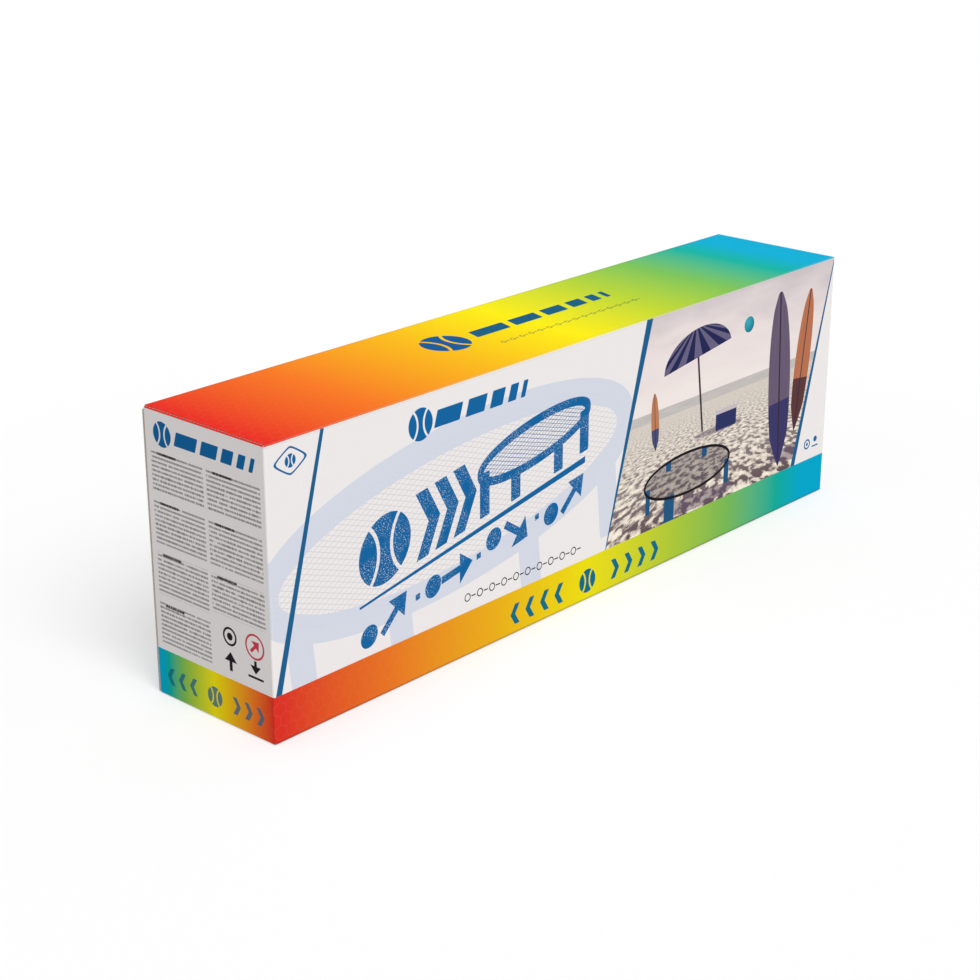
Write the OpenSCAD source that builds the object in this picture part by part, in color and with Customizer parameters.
// Roundnet set, packed in its retail carton.
// Frame: origin at the middle of the carton's base, X along its length, -Y out of its front, Z up.
// The carton is a tuck-end sleeve of corrugated board, cut to fit the pieces that it holds.

/* [Net ring] */
// Outer diameter of the ring when it is put together
ring_d = 900; // [880:5:930]
// Outside diameter of the rim tube
tube_d = 20; // [18:0.5:21]
// Wall of the rim tube
tube_wall = 2; // [1.5:0.1:3]
// Length of a rim segment's spigot
spigot_l = 18; // [12:1:24]
// Wall of the spigot
spigot_wall = 1.8; // [1.2:0.1:2.4]
// Gap round the spigot in its neighbour's socket
spigot_gap = 0.2; // [0.1:0.05:0.4]

/* [Legs] */
// Height of a leg
leg_l = 205; // [190:1:220]
// Width of a leg
leg_w = 86; // [80:1:88]
// Rise of the arch in a leg's foot
leg_arch = 6; // [3:0.5:9]
// Radius of a leg's outer corners
leg_corner = 8; // [4:0.5:10]
// Thickness of a leg's web
leg_web = 3; // [2.4:0.1:3.4]
// Thickness of a leg's flanges
leg_flange = 2.5; // [2:0.1:3]
// Depth of a leg's flanges
leg_flange_h = 12; // [9:0.5:15]
// Thickness of a leg's ribs
rib_t = 1.8; // [1.4:0.1:2.4]
// Depth of a leg's ribs
rib_h = 8; // [5:0.5:11]
// Wall of a leg's clips
clip_wall = 3; // [2.5:0.1:3.5]
// Width of each clip
clip_w = 20; // [14:1:24]
// Half of the angle of a clip's mouth
clip_mouth = 50; // [40:1:55]
// Gap between a clip and the rim tube
clip_gap = 0.2; // [0.1:0.05:0.4]

/* [Balls] */
// Diameter of a ball
ball_d = 88; // [84:1:92]
// Wall of a ball
ball_wall = 2.5; // [1.5:0.1:4]
// Diameter of a ball's valve
valve_d = 7; // [5:0.5:9]
// Length of a ball's valve
valve_l = 9; // [6:0.5:12]

/* [Pump] */
// Outside diameter of the pump's barrel
barrel_d = 28; // [24:1:32]
// Wall of the barrel
barrel_wall = 2; // [1.5:0.1:2.5]
// Length of the barrel
barrel_l = 130; // [110:1:150]
// Length of the screwed cap
cap_l = 16; // [12:1:20]
// How far the cap stands out round the barrel
cap_proud = 1.5; // [1:0.1:2]
// Diameter of the plunger's rod
rod_d = 8; // [6:0.5:10]
// Width of the plunger's handle
handle_w = 54; // [44:1:58]
// Diameter of the plunger's handle
handle_d = 16; // [12:0.5:18]
// Radius of the handle's round ends
handle_r = 6; // [2:0.5:6]
// Thickness of the piston
piston_t = 8; // [5:0.5:12]
// How far the plunger pulls out
stroke = 90; // [70:1:100]
// Diameter of the needle
needle_d = 1.8; // [1.6:0.1:2.2]
// Length of the needle
needle_l = 34; // [28:1:40]

/* [Soft pieces] */
// Length of the folded net
net_l = 330; // [280:2:350]
// Length of the folded carry bag
bag_l = 114; // [100:1:120]
// Width of the folded carry bag
bag_w = 94; // [86:1:98]
// Height of the folded carry bag
bag_h = 84; // [70:1:88]
// Radius of the folded carry bag's long edges
bag_r = 14; // [6:1:18]
// Length of the folded rules leaflet
leaflet_l = 148; // [140:1:150]
// Height of the folded rules leaflet
leaflet_h = 99; // [90:1:105]
// Thickness of the folded rules leaflet
leaflet_t = 0.8; // [0.5:0.1:1.5]

/* [Carton] */
// Thickness of the board
board = 1.5; // [1.2:0.1:1.9]
// Outer radius of the sleeve's creases
crease_r = 2; // [2:0.1:3]
// Length of the dust flaps
dust_l = 75; // [60:1:85]
// Length of the lid's tongue, along its curve
tongue_l = 23; // [16:1:26]
// Width of the glue flap
glue_w = 22; // [16:1:28]
// How far the glue flap's ends slant in
glue_taper = 15; // [8:1:20]
// Room that the box maker leaves along the carton
room_l = 8; // [4:1:20]
// Room that the box maker leaves across the carton
room_d = 1; // [0.6:0.1:4]
// Room that the box maker leaves above the balls
room_h = 3; // [2:0.5:10]

/* [Hidden] */
$fn = 64;
eps = 0.01;
seat = 0.3;          // gap between pieces that lie on each other
crease_gap = 0.25;   // gap at a crease between two boards

// The set's counts
segment_count = 5;
ball_count = 3;
hook_count = 20;

// Colours
white_board = "#ecebe8";
print_red = "#ea372a";
leg_blue = "#1f5f96";
rim_black = "#1b1c1e";
teal = "#1fa7b5";
kraft = "#b89d79";

// The rim segments: a fifth of the ring each, plus the spigot
tube_r = tube_d / 2;
ring_r = (ring_d - tube_d) / 2;                       // to the middle of the tube
bore_r = tube_r - tube_wall;
spigot_r = bore_r - spigot_gap;
segment_deg = 360 / segment_count;
spigot_deg = spigot_l / ring_r * 180 / PI;
span_deg = segment_deg + spigot_deg;                  // what one segment spans, with its spigot
rim_depth = ring_r + tube_r - (ring_r - tube_r) * cos(span_deg / 2);
rim_length = 2 * (ring_r + tube_r) * sin(span_deg / 2);
rim_pitch = tube_d + seat;
rim_stack_h = segment_count * rim_pitch;

// The clip of a leg, which nests on the clip of the next leg
clip_r = tube_r + clip_gap;
clip_out = clip_r + clip_wall;
clip_lip_x = clip_out * sin(clip_mouth);
clip_u = leg_l - clip_out;                            // the rim's middle, from the foot
clip_v = (leg_w - clip_w) / 2 - leg_flange - seat;    // the clips' middles, from the leg's
leg_pitch = clip_out * cos(clip_mouth) + sqrt(clip_out * clip_out - clip_lip_x * clip_lip_x) + seat;
leg_stack_w = (segment_count - 1) * leg_pitch + clip_out * (1 + cos(clip_mouth));

// The carton: inside, what it holds and the room round it, to a whole millimetre
ball_pitch = ball_d + seat;
row_length = leg_l + ball_count * ball_pitch + bag_l + 3 * seat;
end_build = 2 * board + seat;                         // a lid and a dust flap
inner_d = ceil(max(rim_depth, leg_stack_w + leaflet_t, ball_d) + room_d);
inner_h = ceil(rim_stack_h + seat + max(ball_d, leg_w, bag_h) + room_h);
carton_l = ceil(max(rim_length, row_length) + room_l + 2 * end_build);
carton_d = inner_d + 2 * board;
carton_h = inner_h + 2 * board;
end_x = carton_l / 2;                                 // outer face of a lid
front_y = -carton_d / 2;                              // outer face of the front panel
front_in = front_y + board;
back_in = carton_d / 2 - board;
sleeve_x = end_x - board - seat;                      // end of the top and bottom panels
floor_z = board + seat;                               // what lies on the bottom panel
layer_z = board + rim_stack_h + seat;                 // what lies on the rim segments

// The lid turns about the front panel's corner, and its tongue runs on an arc about that corner
lid_reach = carton_d - board - seat;
tongue_r = lid_reach - board;
tongue_deg = tongue_l / lid_reach * 180 / PI;
tongue_margin = 2;                                    // from the tongue's edges to the boards
tongue_z0 = board + tongue_margin;
tongue_z1 = carton_h - 2 * board - tongue_margin;
lid_margin = board / 3;                               // the lid's edges, in from the sleeve's faces

// The dust flaps, cut back on a slant at the front so that the lid passes them
dust_room = 4.5;                                      // from their back edges to the back panel
dust_front = front_y + board + 0.5;
dust_back = back_in - dust_room;
dust_slant = 2;                                       // rise of the slanted edge per millimetre of depth
dust_nick = [6, 25];                                  // the cut at the back corner
dust_corner = 5;
dust_root = board + crease_gap;

// Where the pieces lie
arc_y = back_in - seat - ring_r - tube_r;             // centre of the rim segments' arcs
row_x0 = -row_length / 2;
leg_x = row_x0;
ball_x = row_x0 + leg_l + seat + ball_pitch / 2;
bag_x = row_x0 + row_length - bag_l;
row_y = -2;                                           // middle of the balls and the bag
pump_z = floor_z + barrel_d / 2 + cap_proud;
pump_y = front_in + seat + handle_w / 2;
barrel_in = barrel_d / 2 - barrel_wall;
hub_l = 8;                                            // the needle's hub, outside its thread
hub_d = 8;
nose_l = 6;                                           // the barrel's nose, round the thread
piston_room = 4;                                      // air left under the piston at rest
handle_room = 6;                                      // from the cap to the handle at rest
piston_x = barrel_wall + piston_room;                 // the piston at rest, from the barrel's closed end
rod_l = barrel_l + barrel_wall + handle_room - piston_x;
seal_r = 1.2;                                         // the groove for the piston's seal
flute_r = 1;                                          // the cap's grip flutes
flute_count = 24;
needle_out = nose_l + hub_l + needle_l;
handle_out = piston_x + rod_l + handle_d;
pump_x = (needle_out - handle_out - stroke) / 2;      // level with the bay's middle over the stroke
net_z0 = pump_z + barrel_d / 2 + cap_proud + seat;
net_z1 = layer_z - seat;
hook_w = 4;
hook_r = 4;
hook_wire = 1.6;
hook_shank = 3 * hook_r;
net_y0 = front_in + hook_w + 2 * seat;

// Section of a sleeve h high: its four boards with the creases between them
module sleeve_ring(h) {
    translate([0, h / 2])
        difference() {
            rounded(carton_d, h, crease_r);
            rounded(carton_d - 2 * board, h - 2 * board, max(crease_r - board, 0.2));
        }
}

// Rectangle w by h with round corners, centred
module rounded(w, h, r) {
    for (s = [-1, 1])
        translate([s * (w / 2 - r), 0])
            square([2 * r, h - 2 * r], center = true);
    square([w - 2 * r, h], center = true);
    for (sx = [-1, 1], sy = [-1, 1])
        translate([sx * (w / 2 - r), sy * (h / 2 - r)])
            circle(r);
}

// What faces a side, cut at 45 degrees through the corners of a sleeve h high
module side_of(side, h) {
    d = carton_d / 2;
    m = d / 2;
    if (side == "front") polygon([[-d, 0], [-d + m, m], [-d + m, h - m], [-d, h]]);
    if (side == "back") polygon([[d, 0], [d - m, m], [d - m, h - m], [d, h]]);
    if (side == "bottom") polygon([[-d, 0], [-d + m, m], [d - m, m], [d, 0]]);
    if (side == "top") polygon([[-d, h], [-d + m, h - m], [d - m, h - m], [d, h]]);
}

// A profile in Y and Z, drawn out along the carton to length l
module along(l) {
    translate([-l / 2, 0, 0])
        rotate([90, 0, 90])
            linear_extrude(l)
                children();
}

module front_panel() {
    color(white_board)
        intersection() {
            along(carton_l)
                intersection() {
                    sleeve_ring(carton_h);
                    side_of("front", carton_h);
                }
            // the lids' creases round its two upright edges
            linear_extrude(carton_h)
                translate([0, front_y + carton_d / 4])
                    rounded(carton_l, carton_d / 2, board);
        }
}

// The back panel runs up to the crease of its glue flap, which lies under the top panel
module back_panel() {
    color(white_board)
        along(carton_l)
            intersection() {
                sleeve_ring(carton_h - board);
                side_of("back", carton_h - board);
            }
}

module bottom_panel() {
    color(white_board)
        along(2 * sleeve_x)
            intersection() {
                sleeve_ring(carton_h);
                side_of("bottom", carton_h);
            }
}

// The top panel's rear edge is cut, and lies over the crease of the glue flap
module top_panel() {
    color(print_red)
        along(2 * sleeve_x) {
            intersection() {
                sleeve_ring(carton_h);
                side_of("top", carton_h);
                translate([-carton_d / 2, 0])
                    square([carton_d / 2, carton_h]);
            }
            translate([-crease_r, carton_h - board])
                square([carton_d / 2 - board / 3 + crease_r, board]);
        }
}

module glue_flap() {
    h = carton_h - board;
    y0 = carton_d / 2 - glue_w;
    color(kraft)
        intersection() {
            along(2 * sleeve_x)
                intersection() {
                    sleeve_ring(h);
                    side_of("top", h);
                }
            linear_extrude(carton_h)
                polygon([
                    [-sleeve_x, carton_d / 2], [sleeve_x, carton_d / 2],
                    [sleeve_x - glue_taper, y0], [-sleeve_x + glue_taper, y0]
                ]);
        }
}

// The left lid: closing panel and tongue. The right lid is its mirror image.
module lid() {
    color(white_board) {
        translate([-end_x, front_y + board + crease_gap, lid_margin])
            cube([board, lid_reach - board - crease_gap, carton_h - 2 * lid_margin]);
        intersection() {
            translate([-end_x, front_y, 0])
                rotate([0, 0, 90 - tongue_deg])
                    rotate_extrude(angle = tongue_deg, $fn = 180)
                        translate([tongue_r, tongue_z0])
                            square([board, tongue_z1 - tongue_z0]);
            // its free corners are round
            translate([-end_x - tongue_l, 0, (tongue_z0 + tongue_z1) / 2])
                rotate([90, 0, 0])
                    linear_extrude(2 * carton_d, center = true)
                        rounded(4 * tongue_l, tongue_z1 - tongue_z0, tongue_l / 2);
        }
    }
}

module left_lid() { lid(); }

module right_lid() { mirror([1, 0, 0]) lid(); }

// Points round the corner p of an outline that comes from a and goes on to b, on a radius r
function corner(a, p, b, r, steps = 6) =
    let (
        u = (a - p) / norm(a - p),
        v = (b - p) / norm(b - p),
        half = acos(u * v) / 2,
        m = (u + v) / norm(u + v),
        c = p + m * r / sin(half),
        p0 = p + u * r / tan(half),
        p1 = p + v * r / tan(half)
    ) [
        for (k = [0 : steps])
            let (q = p0 + (p1 - p0) * k / steps)
                c + (q - c) * r / norm(q - c)
    ];

// Outline of a dust flap: depth across, distance from its crease up
module dust_outline() {
    points = [
        [dust_front, dust_root], [dust_front, dust_slant * (dust_front - front_y)],
        [front_y + dust_l / dust_slant, dust_l], [dust_back - dust_nick[0], dust_l],
        [dust_back, dust_l - dust_nick[1]], [dust_back, dust_root]
    ];
    polygon(concat(
        [points[0], points[1]],
        corner(points[1], points[2], points[3], dust_corner),
        corner(points[2], points[3], points[4], dust_corner),
        [points[4], points[5]]
    ));
}

// The left upper dust flap, under the lid; the others are its mirror images
module dust_flap() {
    color(white_board)
        translate([-sleeve_x, 0, carton_h])
            mirror([0, 0, 1])
                rotate([90, 0, 90])
                    linear_extrude(board)
                        dust_outline();
}

module left_upper_dust_flap() { dust_flap(); }

module left_lower_dust_flap() {
    translate([0, 0, carton_h]) mirror([0, 0, 1]) dust_flap();
}

module right_upper_dust_flap() { mirror([1, 0, 0]) dust_flap(); }

module right_lower_dust_flap() {
    mirror([1, 0, 0]) left_lower_dust_flap();
}

// Sweep a section along the rim's arc from a0 to a1, measured from its crown
module rim_sweep(a0, a1) {
    rotate([0, 0, 90 - a1])
        rotate_extrude(angle = a1 - a0, $fn = 180)
            translate([ring_r, 0])
                children();
}

// One fifth of the rim: a bent tube, open at its socket end, with a spigot on a thicker wall at the other
module rim_segment(i) {
    a0 = -span_deg / 2;
    a1 = a0 + segment_deg;
    lap = 0.1;                       // degrees by which the sweeps run into each other
    color(rim_black)
        translate([0, arc_y, board + (i - 0.5) * rim_pitch + seat / 2])
            difference() {
                union() {
                    rim_sweep(a0, a1)
                        circle(tube_r);
                    rim_sweep(a1 - lap, a1 + spigot_deg)
                        circle(spigot_r);
                }
                rim_sweep(a0 - 1, a1 - spigot_deg)
                    circle(bore_r);
                rim_sweep(a1 - spigot_deg - lap, a1 + spigot_deg + 1)
                    circle(spigot_r - spigot_wall);
            }
}

module ring_2d(r_out, r_in) {
    difference() {
        circle(r_out);
        circle(r_in);
    }
}

module rim_segment_1() { rim_segment(1); }
module rim_segment_2() { rim_segment(2); }
module rim_segment_3() { rim_segment(3); }
module rim_segment_4() { rim_segment(4); }
module rim_segment_5() { rim_segment(5); }

// Outline of a leg, foot at x = 0, drawn in by inset
module leg_outline(inset) {
    half_w = leg_w / 2 - inset;
    r = leg_corner - inset;
    arch_r = (leg_w * leg_w / 16 + leg_arch * leg_arch) / (2 * leg_arch);
    difference() {
        union() {
            for (v = [-1, 1])
                translate([inset + r, v * (half_w - r)])
                    circle(r);
            translate([inset, r - half_w])
                square([leg_l - clip_out - inset, 2 * (half_w - r)]);
            translate([inset + r, -half_w])
                square([leg_l - clip_out - inset - r, 2 * half_w]);
        }
        translate([leg_arch - arch_r, 0])
            circle(arch_r + inset);
    }
}

// One leg, lying on its outer face: foot at x = 0, clips at x = leg_l, ribs and clips upwards
module leg() {
    // web, with a window under each clip's inner lip, into which the next leg's clip dips
    difference() {
        linear_extrude(leg_web)
            leg_outline(0);
        for (v = [-1, 1])
            translate([clip_u - clip_out - seat, v * clip_v - clip_w / 2 - seat, -eps])
                cube([clip_out - clip_r * sin(clip_mouth) + 3 * seat, clip_w + 2 * seat, leg_web + 1]);
    }
    // flange all round it
    linear_extrude(leg_flange_h)
        difference() {
            leg_outline(0);
            leg_outline(leg_flange);
        }
    // ribs: two down the leg and three across it
    linear_extrude(rib_h)
        intersection() {
            leg_outline(leg_flange / 2);
            union() {
                for (v = [-1, 1])
                    translate([0, v * leg_w / 5 - rib_t / 2])
                        square([clip_u, rib_t]);
                for (k = [1 : 3])
                    translate([k * clip_u / 4 - rib_t / 2, -leg_w / 2])
                        square([rib_t, leg_w]);
            }
        }
    // foot: its flange is as deep as the legs' pitch, so that they lie level
    linear_extrude(leg_pitch - seat)
        intersection() {
            difference() {
                leg_outline(0);
                leg_outline(leg_flange);
            }
            translate([0, -leg_w / 2])
                square([leg_corner, leg_w]);
        }
    // clips that snap on the rim from outside, with their mouths upwards
    for (v = [-1, 1])
        translate([clip_u, v * clip_v + clip_w / 2, clip_out])
            rotate([90, 0, 0])
                linear_extrude(clip_w)
                    clip_section();
    // the saddle between the clips, in which the rim lies
    translate([clip_u, 0, clip_out])
        rotate([90, 0, 0])
            linear_extrude(2 * clip_v, center = true)
                intersection() {
                    ring_2d(clip_out, clip_r);
                    translate([-clip_out, -clip_out])
                        square([2 * clip_out, clip_out * 0.7]);
                }
}

// Section of a clip: a ring that is open over its mouth, upwards
module clip_section() {
    reach = 2 * clip_out;
    difference() {
        ring_2d(clip_out, clip_r);
        polygon([
            [0, 0], [reach * sin(clip_mouth), reach * cos(clip_mouth)],
            [-reach * sin(clip_mouth), reach * cos(clip_mouth)]
        ]);
    }
}

// The legs stand on edge, nested behind each other from the front panel to the back
module packed_leg(i) {
    color(leg_blue)
        translate([leg_x, front_in + seat + (i - 1) * leg_pitch, layer_z + leg_w / 2])
            rotate([-90, 0, 0])
                mirror([0, 1, 0])
                    leg();
}

module leg_1() { packed_leg(1); }
module leg_2() { packed_leg(2); }
module leg_3() { packed_leg(3); }
module leg_4() { packed_leg(4); }
module leg_5() { packed_leg(5); }

// The folded net fills the bay inside the arcs, above the pump
module net_bundle() {
    color("#2b2d31")
        translate([0, 0, net_z0])
            linear_extrude(net_z1 - net_z0)
                intersection() {
                    translate([0, arc_y])
                        circle(ring_r - tube_r - seat, $fn = 180);
                    translate([-net_l / 2, net_y0])
                        square([net_l, inner_d]);
                }
}

// Hook of the net: a shank with a hook at its lower end
module hook() {
    rotate([90, 0, 0])
        linear_extrude(hook_w) {
            translate([0, hook_r])
                square([hook_wire, hook_shank]);
            translate([hook_r, hook_r])
                difference() {
                    ring_2d(hook_r, hook_r - hook_wire);
                    translate([-2 * hook_r, 0])
                        square(4 * hook_r);
                }
        }
}

// The hooks hang in a row on the net's front fold
module net_hooks() {
    pitch = net_l / (hook_count + 2);
    color("#101113")
        for (k = [0 : hook_count - 1])
            translate([(k - (hook_count - 1) / 2) * pitch - hook_r, net_y0 - seat, (net_z0 + net_z1) / 2])
                hook();
}

// A ball: a hollow rubber shell with a valve that points to the front
module ball(i) {
    translate([ball_x + (i - 1) * ball_pitch, row_y, layer_z + ball_d / 2])
        difference() {
            sphere(ball_d / 2);
            sphere(ball_d / 2 - ball_wall);
            rotate([90, 0, 0])
                cylinder(h = ball_d, d = valve_d);
        }
}

module ball_1() { color(teal) ball(1); }
module ball_2() { color(teal) ball(2); }
module ball_3() { color(teal) ball(3); }

module ball_valves() {
    color("#0e6470")
        for (i = [1 : ball_count])
            translate([ball_x + (i - 1) * ball_pitch, row_y, layer_z + ball_d / 2])
                rotate([90, 0, 0])
                    translate([0, 0, ball_d / 2 - valve_l])
                        difference() {
                            cylinder(h = valve_l - 0.4, d = valve_d - 0.1);
                            translate([0, 0, 2])
                                cylinder(h = valve_l, d = needle_d);
                        }
}

// The pump lies on the floor along the front, needle to the left
module on_pump_axis(x) {
    translate([pump_x + x, pump_y, pump_z])
        rotate([0, 90, 0])
            children();
}

module pump_barrel() {
    color("#d8d9da")
        on_pump_axis(0)
            difference() {
                union() {
                    cylinder(h = barrel_l, d = barrel_d);
                    translate([0, 0, -nose_l])
                        cylinder(h = nose_l + eps, d1 = hub_d + 6, d2 = barrel_d - 2);
                }
                translate([0, 0, barrel_wall])
                    cylinder(h = barrel_l, r = barrel_in);
                translate([0, 0, -nose_l - eps])
                    cylinder(h = nose_l + 2 * barrel_wall, d = hub_d - 2);
            }
}

module pump_cap() {
    cap_r = barrel_d / 2 + cap_proud;
    color(leg_blue)
        on_pump_axis(barrel_l - cap_l + barrel_wall)
            difference() {
                cylinder(h = cap_l, r = cap_r);
                translate([0, 0, -eps])
                    cylinder(h = cap_l - barrel_wall + eps, d = barrel_d + 0.1);
                cylinder(h = 2 * cap_l, d = rod_d + 0.1);
                // grip flutes
                for (k = [1 : flute_count])
                    rotate(k * 360 / flute_count)
                        translate([cap_r + 0.4 * flute_r, 0, -eps])
                            cylinder(h = 2 * cap_l, r = flute_r, $fn = 16);
            }
}

module pump_plunger() {
    color("#1f2226")
        on_pump_axis(piston_x) {
            difference() {
                cylinder(h = piston_t, r = barrel_in - 0.08);
                translate([0, 0, piston_t / 2])
                    rotate_extrude()
                        translate([barrel_in, 0])
                            circle(seal_r, $fn = 24);
            }
            cylinder(h = rod_l, d = rod_d);
            translate([0, 0, rod_l + handle_d / 2 - eps])
                rotate([90, 0, 0])
                    rotate_extrude()
                        intersection() {
                            rounded(handle_d, handle_w, handle_r);
                            translate([0, -handle_w / 2])
                                square([handle_d, handle_w]);
                        }
        }
}

module pump_needle() {
    color("silver")
        on_pump_axis(-nose_l)
            difference() {
                union() {
                    cylinder(h = hub_l - 2, d = hub_d - 2.1);
                    translate([0, 0, -hub_l])
                        cylinder(h = hub_l, d = hub_d);
                    translate([0, 0, -hub_l - needle_l])
                        cylinder(h = needle_l + eps, d = needle_d);
                }
                translate([0, 0, -hub_l - needle_l + 1])
                    cylinder(h = needle_l + 2 * hub_l, d = needle_d / 2);
            }
}

// The folded carry bag, a plain block with round edges
module carry_bag() {
    color("#26292e")
        translate([bag_x, row_y, layer_z + bag_h / 2])
            rotate([90, 0, 90])
                linear_extrude(bag_l)
                    rounded(bag_w, bag_h, bag_r);
}

// The rules, folded, stand on the floor against the back panel, clear of the left lid's tongue
module rules_leaflet() {
    color("white")
        translate([-end_x + tongue_l + 2, back_in - seat - leaflet_t, floor_z])
            cube([leaflet_l, leaflet_t, leaflet_h]);
}

front_panel();
back_panel();
top_panel();
bottom_panel();
glue_flap();
left_lid();
left_upper_dust_flap();
left_lower_dust_flap();
right_lid();
right_upper_dust_flap();
right_lower_dust_flap();
rim_segment_1();
rim_segment_2();
rim_segment_3();
rim_segment_4();
rim_segment_5();
leg_1();
leg_2();
leg_3();
leg_4();
leg_5();
net_bundle();
net_hooks();
ball_1();
ball_2();
ball_3();
ball_valves();
pump_barrel();
pump_cap();
pump_plunger();
pump_needle();
carry_bag();
rules_leaflet();
